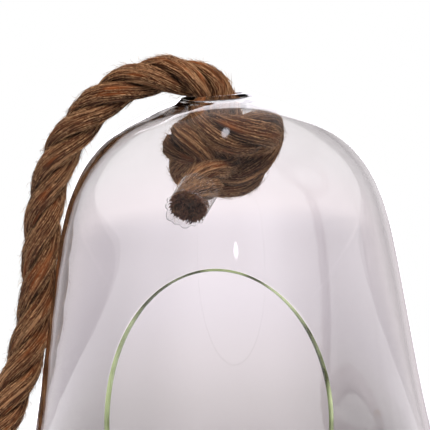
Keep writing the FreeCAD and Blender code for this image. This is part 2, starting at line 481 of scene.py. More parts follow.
@dataclass(frozen=True)
class JuteFinish(Finish):
    """Brown jute, with its fibres lying along each strand."""

    name: str = "brown_jute"
    shade: Screen = (28, 13, 6)
    body: Screen = (90, 51, 29)
    pale: Screen = (180, 136, 99)
    rust: Screen = (134, 68, 28)
    # the near-white colour painted on the rope where it is seen mirrored in the far wall
    painted_mirror_pale: Screen = (252, 246, 250)
    streaks_round: float = 52.0
    streak_length: float = 0.008
    rust_share: float = 0.5
    # how strongly the painted shade darkens the grooves
    painted_groove_shade: float = 1.0
    bump: float = 1.0

    def shaders(self, n: Nodes) -> list[Socket]:
        """Build the material's nodes.

        Args:
            n: The material's node tree.

        Returns:
            The shader of the surface.
        """
        inputs = {
            "Shade": rgb(*self.shade),
            "Body": rgb(*self.body),
            "Pale": rgb(*self.pale),
            "Rust": rgb(*self.rust),
            "Streaks round": self.streaks_round,
            "Streak length": self.streak_length,
            "Rust share": self.rust_share,
            "Hollow": self.painted_groove_shade,
        }
        fibres = n.add("ShaderNodeGroup", inputs, node_tree=fibre_group()).outputs
        relief = {"Height": fibres["Height"], "Strength": self.bump, "Distance": 0.0006}
        # painted reflection: where the rope is seen mirrored in the far wall through both walls, its colour is
        # painted near-white, so that its mirror image shows pale
        path = n.add("ShaderNodeLightPath").outputs
        walls = n.spread(path["Transmission Depth"], 2.5, 3.5, 0.0, 1.0)
        mirrored = n.math("MINIMUM", n.math("MULTIPLY", path["Glossy Depth"], walls), 0.9)
        surface = {
            "Base Color": n.mix(mirrored, fibres["Color"], rgb(*self.painted_mirror_pale)),
            "Roughness": fibres["Roughness"],
            "Normal": n.out("ShaderNodeBump", relief),
            "Specular IOR Level": 0.25,
            "Sheen Weight": 0.10,
            "Sheen Roughness": 0.5,
            "Sheen Tint": rgb(200, 170, 130),
        }
        return [n.out("ShaderNodeBsdfPrincipled", surface)]


@dataclass(frozen=True)
class PlainFibreFinish(Finish):
    """Loose fibres and cut fibre ends, coloured by a noise in the object's space."""

    dark: Screen
    light: Screen
    scale: float = 900.0

    def shaders(self, n: Nodes) -> list[Socket]:
        """Build the material's nodes.

        Args:
            n: The material's node tree.

        Returns:
            The shader of the surface.
        """
        noise = n.object_noise(self.scale, 2.0)
        color = n.mix(n.spread(noise, 0.35, 0.65, 0.0, 1.0), rgb(*self.dark), rgb(*self.light))
        surface = {"Base Color": color, "Roughness": 0.75, "Specular IOR Level": 0.3}
        return [n.out("ShaderNodeBsdfPrincipled", surface)]


@dataclass(frozen=True)
class GlassFinish(Finish):
    """Clear blown glass, a little green where one looks along the wall."""

    name: str = "clear_glass"
    tint: Linear = (0.985, 0.98, 0.985, 1.0)
    depth_tint: Linear = (0.70, 0.76, 0.60, 1.0)
    depth_density: float = 16.0
    ior: float = 1.5

    def shaders(self, n: Nodes) -> list[Socket]:
        """Build the material's nodes.

        Args:
            n: The material's node tree.

        Returns:
            The shader of the surface, and that of the glass's depth.
        """
        surface = {
            "Base Color": self.tint,
            "Roughness": 0.0,
            "IOR": self.ior,
            "Transmission Weight": 1.0,
            "Metallic": 0.0,
        }
        shader = n.out("ShaderNodeBsdfPrincipled", surface)
        clear = n.out("ShaderNodeBsdfTransparent", {0: (0.93, 0.93, 0.93, 1.0)})
        depth = n.out("ShaderNodeVolumeAbsorption", {"Color": self.depth_tint, "Density": self.depth_density})
        return [n.past_lamps(shader, clear), depth]


@dataclass(frozen=True)
class CutEdgeFinish(Finish):
    """The edge of the opening, where one looks into the glass and sees its green."""

    name: str = "green_cut_edge"
    dark: Screen = (62, 66, 40)
    light: Screen = (168, 180, 134)

    def shaders(self, n: Nodes) -> list[Socket]:
        """Build the material's nodes.

        Args:
            n: The material's node tree.

        Returns:
            The shader of the surface.
        """
        noise = n.object_noise(60.0, 2.0)
        color = n.mix(n.spread(noise, 0.40, 0.62, 0.0, 1.0), rgb(*self.dark), rgb(*self.light))
        surface = {
            "Base Color": color,
            "Roughness": 0.12,
            "IOR": 1.5,
            "Transmission Weight": 0.35,
            "Metallic": 0.0,
        }
        shader = n.out("ShaderNodeBsdfPrincipled", surface)
        clear = n.out("ShaderNodeBsdfTransparent", {0: (0.97, 0.97, 0.97, 1.0)})
        return [n.pick(n.add("ShaderNodeLightPath").outputs["Is Reflection Ray"], shader, clear)]


@dataclass(frozen=True)
class FilmFinish(Finish):
    """Clear packing tape, glossy, thin and creased."""

    name: str = "clear_tape"
    tint: Linear = (0.97, 0.96, 0.94, 1.0)
    roughness: float = 0.09
    transmission: float = 0.95
    strength: float = 0.07
    rim_strength: float = 0.75
    crease_strength: float = 0.45
    crease_scale: float = 300.0

    def shaders(self, n: Nodes) -> list[Socket]:
        """Build the material's nodes.

        Args:
            n: The material's node tree.

        Returns:
            The shader of the surface.
        """
        creases = n.object_noise(self.crease_scale, 3.0)
        surface = {
            "Base Color": self.tint,
            "Roughness": self.roughness,
            "IOR": 1.47,
            "Transmission Weight": self.transmission,
            "Metallic": 0.0,
            "Normal": n.out("ShaderNodeBump", {"Height": creases, "Strength": 0.8, "Distance": 0.0008}),
        }
        shader = n.out("ShaderNodeBsdfPrincipled", surface)
        clear = n.out("ShaderNodeBsdfTransparent", {0: (0.97, 0.97, 0.97, 1.0)})
        # the film shows at its rims and on the ridges of its creases
        facing = n.add("ShaderNodeLayerWeight", {"Blend": 0.5}).outputs["Facing"]
        rim = n.spread(facing, 0.62, 0.95, self.strength, self.rim_strength)
        off_ridge = n.math("ABSOLUTE", n.math("SUBTRACT", creases, 0.5))
        ridge = n.spread(off_ridge, 0.0, 0.012, self.crease_strength, 0.0)
        return [n.past_lamps(n.pick(n.math("MAXIMUM", rim, ridge), clear, shader), clear)]


# ---------------------------------------------------------------------------------------------------
# The glass


@dataclass
class GlassVessel:
    """The blown bell: one closed skin of revolution with the oval opening let into its front."""

    height: float = 225.0
    belly_radius: float = 88.0
    foot_radius: float = 58.0
    crown_radius: float = 13.0
    hole_radius: float = 10.8
    base_thickness: float = 4.6
    foot_ring_width: float = 14.0
    foot_ring_flat: float = 7.0
    punt_rise: float = 1.6
    hole_edge_round: float = 0.5
    opening_height: float = 110.0
    opening_width: float = 82.0
    opening_centre: float = 108.5
    opening_edge_round: float = 0.8
    crown_wall: float = 2.8
    bell_shares: tuple[tuple[float, float], ...] = (
        (0.222, 0.987), (0.328, 0.970), (0.488, 0.932), (0.631, 0.855), (0.714, 0.733),
        (0.785, 0.556), (0.872, 0.390), (0.962, 0.272), (1.000, 0.180), (0.930, 0.062),
    )
    wall_stations: tuple[tuple[float, float], ...] = (
        (0.965, 2.8), (0.930, 2.8), (0.860, 2.3), (0.740, 2.3), (0.560, 2.3),
        (0.390, 2.3), (0.270, 2.3), (0.180, 2.3), (0.100, 3.4), (0.050, 3.4),
    )
    crown_lip: tuple[tuple[float, float], ...] = ((0.12, -0.10), (-0.15, 0.0), (-0.9, 0.0))
    crown_lean: float = 2.0
    crown_tilt: float = 0.04
    lean_from: float = 196.0
    line_points: int = 4000
    wide_step: float = 2.6
    close_step: float = 1.8
    punt_rings: int = 12
    heel_rings: int = 9
    floor_rings: int = 14
    floor_inset: float = 4.0
    edge_steps: int = 5
    columns: int = 240
    window_columns: int = 40
    window_low: float = 38.5
    window_high: float = 178.5
    window_rows: int = 58
    oval_rings: int = 15
    oval_crowding: float = 1.5
    finish: GlassFinish = field(default_factory=GlassFinish)
    edge_finish: CutEdgeFinish = field(default_factory=CutEdgeFinish)

    def __post_init__(self) -> None:
        """Draw the wall's two lines."""
        self.outer = self.outer_line()
        self.inner = self.inner_line()

    def outer_line(self) -> np.ndarray:
        """Draw the outer line.

        Returns:
            The line, from the crown's edge down to the foot, as radius and height.
        """
        knots = [(self.crown_radius, self.height)]
        knots += [(r * self.belly_radius, h * self.height) for r, h in self.bell_shares]
        knots.append((self.foot_radius, 0.0))
        start = np.array([1.0, -1.0]) / math.sqrt(2)
        return clamped_spline(np.array(knots), start, np.array([-1.0, 0.0]), self.line_points)

    def inner_line(self) -> np.ndarray:
        """Draw the inner line, by the wall's thickness at its stations.

        Returns:
            The line, from the axis under the crown to the heel.
        """
        outer = self.outer
        knots = [(0.0, self.height - self.crown_wall)]
        along = unit(np.gradient(outer, axis=0))
        for share, wall in self.wall_stations:
            i = int(np.argmin(np.abs(outer[:, 1] - share * self.height)))
            knots.append(tuple(outer[i] + np.array([along[i, 1], -along[i, 0]]) * wall))
        return clamped_spline(np.array(knots), np.array([1.0, 0.0]), along[i], self.line_points)

    @staticmethod
    def radius_at(line: np.ndarray, height: np.ndarray) -> np.ndarray:
        """The radius of a falling line at given heights."""
        return np.interp(height, line[::-1, 1], line[::-1, 0])

    def edge_bends(self, first: int) -> list[tuple[float, float]]:
        """The steps of a rounded edge from the first, as shares left on one side and gained on the other."""
        turns = [QUARTER_TURN * k / self.edge_steps for k in range(first, self.edge_steps + 1)]
        return [(1 - math.sin(turn), 1 - math.cos(turn)) for turn in turns]

    def section(self) -> tuple[np.ndarray, int, int]:
        """The whole section, from the axis under the base, up the outside and down the inside.

        Returns:
            The points, and the numbers of the first window row outside and inside.
        """
        outer, inner, edge = self.outer, self.inner, self.hole_edge_round
        heights = np.linspace(self.window_high, self.window_low, self.window_rows + 1)
        ring_inner = self.foot_radius - self.foot_ring_width
        punt = np.linspace(0, ring_inner, self.punt_rings)
        rows = [(r, self.punt_rise * (1 - (r / ring_inner) ** 2)) for r in punt]
        rows.append((ring_inner + self.foot_ring_flat, 0.0))
        rows += even_steps(outer[outer[:, 1] < self.window_low][::-1], self.wide_step).tolist()[:-1]
        outside = len(rows)
        rows += zip(self.radius_at(outer, heights[::-1]), heights[::-1])
        rows += even_steps(outer[outer[:, 1] > self.window_high][::-1], self.close_step).tolist()[1:-1]
        rows += [(self.crown_radius + out, self.height + up) for out, up in self.crown_lip]
        rows += [(self.hole_radius + edge * a, self.height - edge * b) for a, b in self.edge_bends(0)]
        low = float(np.interp(self.hole_radius + edge, inner[:, 0], inner[:, 1]))
        rows += [(self.hole_radius + edge * b, low + edge * a) for a, b in self.edge_bends(0)]
        top = inner[(inner[:, 1] > self.window_high) & (inner[:, 0] > self.hole_radius + edge)]
        rows += even_steps(top, self.close_step).tolist()[1:-1]
        inside = len(rows)
        rows += zip(self.radius_at(inner, heights), heights)
        rows += even_steps(inner[inner[:, 1] < self.window_low], self.wide_step).tolist()[1:]
        heel = np.array([inner[-1], (self.foot_radius, self.base_thickness)])
        way = unit(np.diff(inner[-2:], axis=0))[0]
        rows += clamped_spline(heel, way, np.array([-1.0, 0.0]), self.heel_rings).tolist()[1:]
        floor = np.linspace(self.foot_radius - self.floor_inset, 0, self.floor_rings)
        rows += [(r, self.base_thickness) for r in floor]
        return np.array(rows), outside, inside

    def oval(self, angle: np.ndarray, outset: float) -> tuple[np.ndarray, np.ndarray]:
        """The oval's edge, moved outwards along the wall by outset.

        Args:
            angle: Where on the oval, from its right side upwards.
            outset: How far outside the edge, in millimetres.

        Returns:
            The angle round the vase's axis from the front, and the height.
        """
        height = self.opening_centre + (0.5 * self.opening_height + outset) * np.sin(angle)
        across = (0.5 * self.opening_width + outset) * np.cos(angle)
        return np.arcsin(across / self.radius_at(self.outer, height)), height

    def place(self, around: np.ndarray, height: np.ndarray, depth: np.ndarray | float) -> np.ndarray:
        """Points in the wall by angle from the front, height, and depth from 0 outside to 1 inside."""
        radius = self.radius_at(self.outer, height) * (1 - depth) + self.radius_at(self.inner, height) * depth
        return np.stack([radius * np.sin(around), -radius * np.cos(around), height], axis=-1)

    def shell(self, skin: Skin) -> tuple[list[list[int]], np.ndarray, np.ndarray]:
        """Add the wall, with a square window where the opening goes.

        Args:
            skin: The mesh in the making.

        Returns:
            The vertex numbers round the window outside and inside, from its right side upwards, and the
            angle from the front and the height of each.
        """
        section, outside, inside = self.section()
        count, half, up = self.columns, self.window_columns, self.window_rows
        turns = ring_turns(count)
        rows = [skin.ring(np.array([[0.0, 0.0, section[0, 1]]]))]
        for radius, height in section[1:-1]:
            ring = [radius * np.sin(turns), -radius * np.cos(turns), np.full(count, height)]
            rows.append(skin.ring(np.stack(ring, axis=1)))
        rows.append(skin.ring(np.array([[0.0, 0.0, section[-1, 1]]])))
        for j in range(count):
            k = (j + 1) % count
            skin.faces += [(rows[0][0], rows[1][j], rows[1][k]), (rows[-1][0], rows[-2][k], rows[-2][j])]
        for i in range(1, len(rows) - 2):
            beside = any(first <= i < first + up for first in (outside, inside))
            for j in range(half, count - half) if beside else range(count):
                k = (j + 1) % count
                skin.faces.append((rows[i][j], rows[i + 1][j], rows[i + 1][k], rows[i][k]))
        # the way round the window, as steps above its lower side and columns from the front
        way = [(k, half) for k in range(up // 2, up)]
        way += [(up, j) for j in range(half, -half, -1)]
        way += [(up - k, -half) for k in range(up)]
        way += [(0, j) for j in range(-half, half)]
        way += [(k, half) for k in range(up // 2)]
        sides = ((outside, 1), (inside + up, -1))
        rims = [[rows[low + step * k][j % count] for k, j in way] for low, step in sides]
        around = np.array([FULL_TURN * j / count for _, j in way])
        return rims, around, np.array([section[outside + k, 1] for k, _ in way])

    def opening(self, skin: Skin, rims: list[list[int]], around: np.ndarray, heights: np.ndarray) -> int:
        """Draw both sides of the wall in from the window to the oval, and add its rounded edge.

        Args:
            skin: The mesh in the making.
            rims: The vertex numbers round the window, outside and inside.
            around: The angle of each from the front.
            heights: The height of each.

        Returns:
            The number of the edge's first face.
        """
        angle = np.arctan2(
            (heights - self.opening_centre) / (0.5 * self.opening_height),
            self.radius_at(self.outer, heights) * np.sin(around) / (0.5 * self.opening_width),
        )
        edge = self.opening_edge_round
        start_around, start_height = self.oval(angle, edge)
        walls = []
        for depth, rim in enumerate(rims):
            lines = [rim]
            for ring in range(1, self.oval_rings + 1):
                share = (1 - ring / self.oval_rings) ** self.oval_crowding
                turned = start_around * (1 - share) + around * share
                raised = start_height * (1 - share) + heights * share
                lines.append(skin.ring(self.place(turned, raised, depth)))
            walls.append(lines)
        wall = self.radius_at(self.outer, start_height) - self.radius_at(self.inner, start_height)
        across = [walls[0][-1]]
        for inside, bends in enumerate((self.edge_bends(1), self.edge_bends(1)[::-1])):
            for out, depth in bends:
                share = 1 - edge * depth / wall if inside else edge * depth / wall
                across.append(skin.ring(self.place(*self.oval(angle, edge * out), share)))
        across.append(walls[1][-1])
        for lines, turned in ((walls[0], False), (walls[1], True), (across, False)):
            edge_from = len(skin.faces)
            for first, second in zip(lines, lines[1:]):
                skin.band(first, second, turned)
        return edge_from

    def build(self) -> Object:
        """Make the vessel and its finish.

        Returns:
            The vessel's object.
        """
        skin = Skin()
        edge_from = self.opening(skin, *self.shell(skin))
        place = np.concatenate(skin.points)
        rise = smoothstep(self.lean_from, self.height, place[:, 2])
        place[:, 2] += rise * self.crown_tilt * place[:, 0]
        place[:, 0] -= rise * self.crown_lean
        vessel = mesh_object("blown_glass", place * MM, skin.faces)
        turn_outward(vessel)
        vessel.data.materials.append(self.finish.material())
        vessel.data.materials.append(self.edge_finish.material())
        for polygon in vessel.data.polygons[edge_from:]:
            polygon.material_index = 1
        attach(vessel, Body.VESSEL.value)
        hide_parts("glass_vessel")
        return announce(vessel)


# ---------------------------------------------------------------------------------------------------
# The rope


@dataclass
class RopeLine:
    """The rope's one line, from its cut end in the vase to its far end in the coil."""

    diameter: float = 14.0
    knot_centre: Place = (2.0, 0.0, 202.9)
    knot_squeeze: Place = (0.73, 0.88, 1.0)
    tail: tuple[Place, ...] = ((-3.6, -12.0, 198.6), (-6.6, -22.0, 193.3), (-10.6, -36.0, 185.7))
    knot_shares: tuple[Place, ...] = (
        (-0.13, 0.06, 0.55), (-0.19, 0.02, 0.12), (-0.28, -0.34, -0.12), (-0.52, -0.86, 0.06),
        (-0.95, -1.08, 0.32), (-1.45, -0.80, 0.40), (-1.74, -0.22, 0.38), (-1.70, 0.40, 0.04),
        (-1.58, 0.66, -0.36), (-1.00, 0.50, -0.62), (-0.10, 0.20, -0.66), (0.52, 0.10, -0.54),
        (0.84, 0.22, -0.18), (1.14, 0.20, 0.32), (1.46, -0.32, 0.66), (1.16, -0.98, 0.60),
        (0.55, -1.26, 0.52), (-0.22, -1.24, 0.58), (-0.86, -0.82, 0.76), (-1.20, 0.05, 0.80),
        (-0.92, 0.90, 0.60), (-0.15, 1.20, 0.57), (0.42, 0.80, 0.44), (0.30, 0.20, 0.36),
        (-0.12, -0.40, 0.14),
    )
    run: tuple[Place, ...] = (
        (-0.4, 0.8, 224.6), (-6.8, 0.8, 229.9), (-17.0, 1.7, 232.9), (-28.5, 3.1, 232.4),
        (-42.5, 5.0, 226.3), (-57.0, 8.0, 212.5), (-66.0, 11.0, 195.0), (-70.0, 13.5, 175.0),
        (-71.5, 14.5, 153.0), (-75.5, 13.0, 131.5), (-83.5, 8.5, 111.5), (-91.5, 1.5, 92.5),
        (-98.0, -6.5, 74.0), (-102.5, -14.0, 55.5), (-105.0, -19.5, 38.5), (-106.0, -20.5, 23.5),
        (-106.0, -14.5, 11.5), (-106.0, -2.5, 8.1), (-106.0, 9.5, 8.1),
    )
    coil_radius: float = 86.0
    coil_pitch: float = 17.2
    coil_quarters: int = 7
    points_a_quarter: int = 6
    step: float = 0.9
    past_knot: int = 3

    def knot_points(self) -> list[Vector]:
        """The knot's route and the tail's.

        Returns:
            The points, from the cut end up to the crown hole.
        """
        places = []
        for shares in self.knot_shares:
            reach = [share * factor * self.diameter for share, factor in zip(shares, self.knot_squeeze)]
            places.append(Vector(self.knot_centre) + Vector(reach))
        return (places + [Vector(place) for place in self.tail])[::-1]

    def coil_points(self) -> list[Vector]:
        """The coil's route: quarter turns that draw in, and a straight end.

        Returns:
            The points, from the run's end to the rope's far end.
        """
        radius = self.coil_radius
        centre = Vector(self.run[-1]) + Vector((-radius, self.diameter, 0))
        ahead, onward = Vector((1, 0, 0)), Vector((0, 1, 0))
        turn = QUARTER_TURN / self.points_a_quarter
        reach = 2 / (1 + math.cos(0.5 * turn) ** 2)
        places = []
        for _ in range(self.coil_quarters):
            for k in range(self.points_a_quarter):
                angle = turn * (k + 0.5)
                places.append(centre + (ahead * math.cos(angle) + onward * math.sin(angle)) * radius * reach)
            centre = centre + onward * (0.25 * self.coil_pitch)
            radius -= 0.25 * self.coil_pitch
            ahead, onward = onward, -ahead
        end = centre + ahead * radius
        return places + [end, end + onward * self.diameter]

    def sample(self) -> None:
        """Read the line from one smooth spline, and find where the free rope starts on it."""
        knot = self.knot_points()
        route = knot + [Vector(p) for p in self.run] + self.coil_points()
        curve = bpy.data.curves.new("rope_route", "CURVE")
        curve.dimensions = "3D"
        spline = curve.splines.new("NURBS")
        spline.points.add(len(route) - 1)
        for point, place in zip(spline.points, route):
            point.co = (*(place * MM), 1.0)
        spline.order_u = 3
        spline.use_endpoint_u = True
        spline.resolution_u = 16
        obj = linked("rope_route", curve)
        mesh = bpy.data.meshes.new_from_object(obj)
        read = np.array([v.co[:] for v in mesh.vertices])
        bpy.data.objects.remove(obj)
        bpy.data.curves.remove(curve)
        bpy.data.meshes.remove(mesh)
        self.points = even_steps(read, self.step * MM)
        self.along = lengths_along(self.points)
        near = np.linalg.norm(self.points - np.array(knot[-1]) * MM, axis=1)
        self.free_from = int(np.argmin(near[: len(near) // 2])) + self.past_knot
        self.carry_frame()

    def carry_frame(self) -> None:
        """Carry a frame along the line with no twist of its own."""
        self.tangent = unit(np.gradient(self.points, axis=0))
        side = np.cross(self.tangent[0], [0.0, 0.0, 1.0])
        sides = [side / np.linalg.norm(side)]
        for tangent in self.tangent[1:]:
            side = sides[-1] - tangent * np.dot(sides[-1], tangent)
            sides.append(side / np.linalg.norm(side))
        self.side = np.array(sides)
        self.up = np.cross(self.tangent, self.side)


@dataclass
class StrandSkin:
    """How three strands are laid along a stretch of the line."""

    line: RopeLine
    lay: float = 48.0
    strand_share: float = 0.50
    strand_width: float = 1.13
    yarns: int = 9
    yarn_lobe: tuple[float, ...] = (0.25, 1.0, 0.25)
    yarn_depth: float = 0.11
    yarn_turn: float = -0.085
    waves: tuple[float, ...] = (11.0, 23.0, 41.0)
    phase: float = 0.4
    fibre_reach: float = 4.0
    seed: int = 5

    def strands(self, first: int, last: int, every: int = 1) -> tuple[np.ndarray, np.ndarray, np.ndarray]:
        """Lay the strands.

        Args:
            first: The first sample of the line.
            last: One past the last sample.
            every: Take one sample in this many.

        Returns:
            Points (strand, sample, side), the metres along, and how deep in a groove each point is.
        """
        line, radius = self.line, 0.5 * self.line.diameter * MM
        pick = np.arange(first, last, every)
        if pick[-1] != last - 1:
            pick = np.append(pick, last - 1)
        along = line.along[pick]
        rng = np.random.default_rng(self.seed)
        sides = self.yarns * len(self.yarn_lobe)
        yarn, in_yarn = np.divmod(np.arange(sides), len(self.yarn_lobe))
        lobe = np.array(self.yarn_lobe)[in_yarn]
        skins, grooves = [], []
        for strand in range(3):
            angle = (self.phase + FULL_TURN * (strand / 3 + along / (self.lay * MM)))[:, None]
            out = np.cos(angle) * line.side[pick] + np.sin(angle) * line.up[pick]
            centre = line.points[pick] + out * radius * (1 - self.strand_share)
            tangent = unit(np.gradient(centre, axis=0))
            out = unit(out - tangent * np.sum(out * tangent, axis=1)[:, None])
            across = np.cross(tangent, out)
            turn = (ring_turns(sides) + (self.yarn_turn / MM * along)[:, None])[:, :, None]
            wobble = np.zeros((len(pick), self.yarns))
            for wave in self.waves:
                shift = rng.uniform(0, FULL_TURN, self.yarns)
                length = wave * rng.uniform(0.8, 1.25, self.yarns)
                wobble += np.sin(FULL_TURN * along[:, None] / (length * MM) + shift) / 3
            bump = 1 + self.yarn_depth * (lobe - 0.6) + 0.05 * wobble[:, yarn]
            away = np.cos(turn) * out[:, None, :] + self.strand_width * np.sin(turn) * across[:, None, :]
            skin = centre[:, None, :] + (self.strand_share * radius * bump)[:, :, None] * away
            reach = np.linalg.norm(skin - line.points[pick][:, None, :], axis=2) / radius
            skins.append(skin)
            grooves.append(1 - smoothstep(0.66, 0.93, reach) * (0.72 + 0.28 * lobe)[None, :])
        return np.array(skins), along, np.array(grooves)

    def seeds(self, skins: np.ndarray, grooves: np.ndarray, count: int, seed: int) -> tuple[np.ndarray, ...]:
        """Pick places on the strands' outer sides, apart from those whose fibres would reach the floor.

        Args:
            skins: The strands' points.
            grooves: How deep in a groove each point is.
            count: How many places.
            seed: The random seed.

        Returns:
            The places, and the heading and the outward side at each.
        """
        rng = np.random.default_rng(seed)
        strand = rng.integers(0, skins.shape[0], 4 * count)
        row = rng.integers(1, skins.shape[1] - 2, 4 * count)
        side = rng.integers(0, skins.shape[2], 4 * count)
        keep = np.flatnonzero(grooves[strand, row, side] < rng.uniform(0.15, 1.0, 4 * count))[:count]
        strand, row, side = strand[keep], row[keep], side[keep]
        here, ahead = skins[strand, row, side], skins[strand, row + 1, side]
        heading = unit(ahead - here)
        out = here - skins[strand, row].mean(axis=1)
        out = unit(out - heading * np.sum(out * heading, axis=1)[:, None])
        places = here + (ahead - here) * rng.uniform(0, 1, len(keep))[:, None]
        clear = places[:, 2] + self.fibre_reach * MM * out[:, 2] > 0
        return places[clear], heading[clear], out[clear]

    def mesh(self, name: str, skins: np.ndarray, along: np.ndarray, grooves: np.ndarray) -> Object:
        """Make closed strand tubes with a UV map along them and their groove depth.

        Args:
            name: The object's name.
            skins: The strands' points.
            along: The metres along at each sample.
            grooves: How deep in a groove each point is.

        Returns:
            The object.
        """
        skin = Skin()
        for strand in skins:
            skin.tube(strand)
        obj = skin.build(name)
        mesh = obj.data
        rows, sides = skins.shape[1:3]
        loops = np.zeros(len(mesh.loops), dtype=np.int32)
        mesh.loops.foreach_get("vertex_index", loops)
        strand, rest = np.divmod(loops, rows * sides)
        row, side = np.divmod(rest, sides)
        # the seam's quads go on to the far side of the map
        starts = np.zeros(len(mesh.polygons), dtype=np.int32)
        totals = np.zeros(len(mesh.polygons), dtype=np.int32)
        mesh.polygons.foreach_get("loop_start", starts)
        mesh.polygons.foreach_get("loop_total", totals)
        owner = np.repeat(np.arange(len(starts)), totals)
        widest = np.maximum.reduceat(side, starts)[owner]
        quad = (totals == 4)[owner]
        side = np.where(quad & (widest == sides - 1) & (side == 0), sides, side)
        uv = np.stack([along[row], side / sides + strand * 1.37], axis=1)
        mesh.uv_layers.new(name="laid").data.foreach_set("uv", uv.ravel())
        mesh.attributes.new("groove", "FLOAT", "POINT").data.foreach_set("value", grooves.ravel())
        return obj


@cache
def spread_group() -> bpy.types.NodeTree:
    """Lay copies of small fibres on seed points, along each point's heading and outward side.

    Returns:
        The geometry node group.
    """
    sizes = dict.fromkeys(("Least length", "Greatest length", "Thickness", "Stray angle"), "Float")
    inputs = {"Geometry": "Geometry", "Fibres": "Collection", "Finish": "Material", **sizes, "Seed": "Int"}
    tree, n, put_in = new_group("spread_fibres", "GeometryNodeTree", inputs, {"Geometry": "Geometry"})
    points = n.out("GeometryNodeMeshToPoints", {"Mesh": put_in["Geometry"]})
    heading = n.out("GeometryNodeInputNamedAttribute", {"Name": "heading"}, data_type="FLOAT_VECTOR")
    out = n.out("GeometryNodeInputNamedAttribute", {"Name": "outward"}, data_type="FLOAT_VECTOR")
    align = "FunctionNodeAlignRotationToVector"
    first = n.out(align, {"Vector": heading}, axis="X")
    laid = n.out(align, {"Rotation": first, "Vector": out}, axis="Z", pivot_axis="X")
    stray = put_in["Stray angle"]
    back = n.math("MULTIPLY", stray, -1.0)
    low = n.xyz(-1.2, back, back)
    high = n.xyz(1.2, n.math("MULTIPLY", stray, 0.15), stray)
    turns = {0: low, 1: high, "Seed": put_in["Seed"]}
    random = n.out("FunctionNodeRandomValue", turns, data_type="FLOAT_VECTOR")
    turned = n.out("FunctionNodeEulerToRotation", {0: random})
    rotation = n.out("FunctionNodeRotateRotation", {0: laid, 1: turned}, rotation_space="LOCAL")
    seed = n.out("FunctionNodeIntegerMath", {0: put_in["Seed"], 1: 1}, operation="ADD")
    lengths = {2: put_in["Least length"], 3: put_in["Greatest length"], "Seed": seed}
    length = n.add("FunctionNodeRandomValue", lengths, data_type="FLOAT").outputs[1]
    copies = {"Collection": put_in["Fibres"], "Separate Children": True, "Reset Children": True}
    instances = {
        "Points": points,
        "Instance": n.out("GeometryNodeCollectionInfo", copies),
        "Pick Instance": True,
        "Rotation": rotation,
        "Scale": n.xyz(length, put_in["Thickness"], length),
    }
    real = n.out("GeometryNodeRealizeInstances", {0: n.out("GeometryNodeInstanceOnPoints", instances)})
    done = n.out("GeometryNodeSetMaterial", {"Geometry": real, "Material": put_in["Finish"]})
    n.add("NodeGroupOutput", {0: done})
    return tree


@dataclass(frozen=True)
class FibreKind:
    """One kind of loose fibre: how it bends, and how it is spread."""

    name: str
    lifts: tuple[tuple[float, ...], ...]
    sways: tuple[tuple[float, ...], ...]
    girth: float
    least_length: float
    greatest_length: float
    stray: float
    seed: int = 3

    def pool(self) -> bpy.types.Collection:
        """Make the fibres that are copied, a unit long, with a three-sided section.

        Returns:
            The collection that holds them.
        """
        pool = bpy.data.collections.new(self.name)
        turns = ring_turns(3)
        for number, (lift, sway) in enumerate(zip(self.lifts, self.sways)):
            skin, rows = Skin(), []
            for share, rise, side in zip(np.arange(len(lift)) / (len(lift) - 1), lift, sway):
                reach = self.girth * (1.0 - 0.75 * abs(2 * share - 1) ** 3)
                ring = [(side + math.cos(t) * reach, rise + math.sin(t) * reach) for t in turns]
                rows.append([(share - 0.5, y, z) for y, z in ring])
            skin.tube(np.array(rows))
            fibre = skin.build(f"{self.name}_{number}")
            bpy.context.scene.collection.objects.unlink(fibre)
            pool.objects.link(fibre)
        return pool

    def spread(self, name: str, seeds: tuple[np.ndarray, ...], mat: bpy.types.Material) -> Object:
        """Spread the fibres over seed points, as one plain mesh that the glass doesn't mirror.

        Args:
            name: The new object's name.
            seeds: The points, and the heading and the outward side at each.
            mat: The fibres' material.

        Returns:
            The new object.
        """
        pool = self.pool()
        places, headings, outwards = seeds
        mesh = bpy.data.meshes.new(name + "_seeds")
        mesh.from_pydata(places.tolist(), [], [])
        for label, values in (("heading", headings), ("outward", outwards)):
            mesh.attributes.new(label, "FLOAT_VECTOR", "POINT").data.foreach_set("vector", values.ravel())
        holder = linked(name + "_seeds", mesh)
        modifier = holder.modifiers.new("fibres", "NODES")
        modifier.node_group = spread_group()
        values = {
            "Fibres": pool,
            "Finish": mat,
            "Least length": self.least_length * MM,
            "Greatest length": self.greatest_length * MM,
            "Thickness": 0.5 * (self.least_length + self.greatest_length) * MM,
            "Stray angle": self.stray,
            "Seed": self.seed,
        }
        for item in modifier.node_group.interface.items_tree:
            if item.in_out == "INPUT" and item.name in values:
                modifier[item.identifier] = values[item.name]
        ready = holder.evaluated_get(bpy.context.evaluated_depsgraph_get())
        plain = bpy.data.meshes.new_from_object(ready)
        plain.name = name
        for used in (holder, *pool.objects):
            bpy.data.objects.remove(used)
        bpy.data.collections.remove(pool)
        if not plain.materials:
            plain.materials.append(mat)
        fibres = linked(name, plain)
        fibres.visible_glossy = False
        return fibres


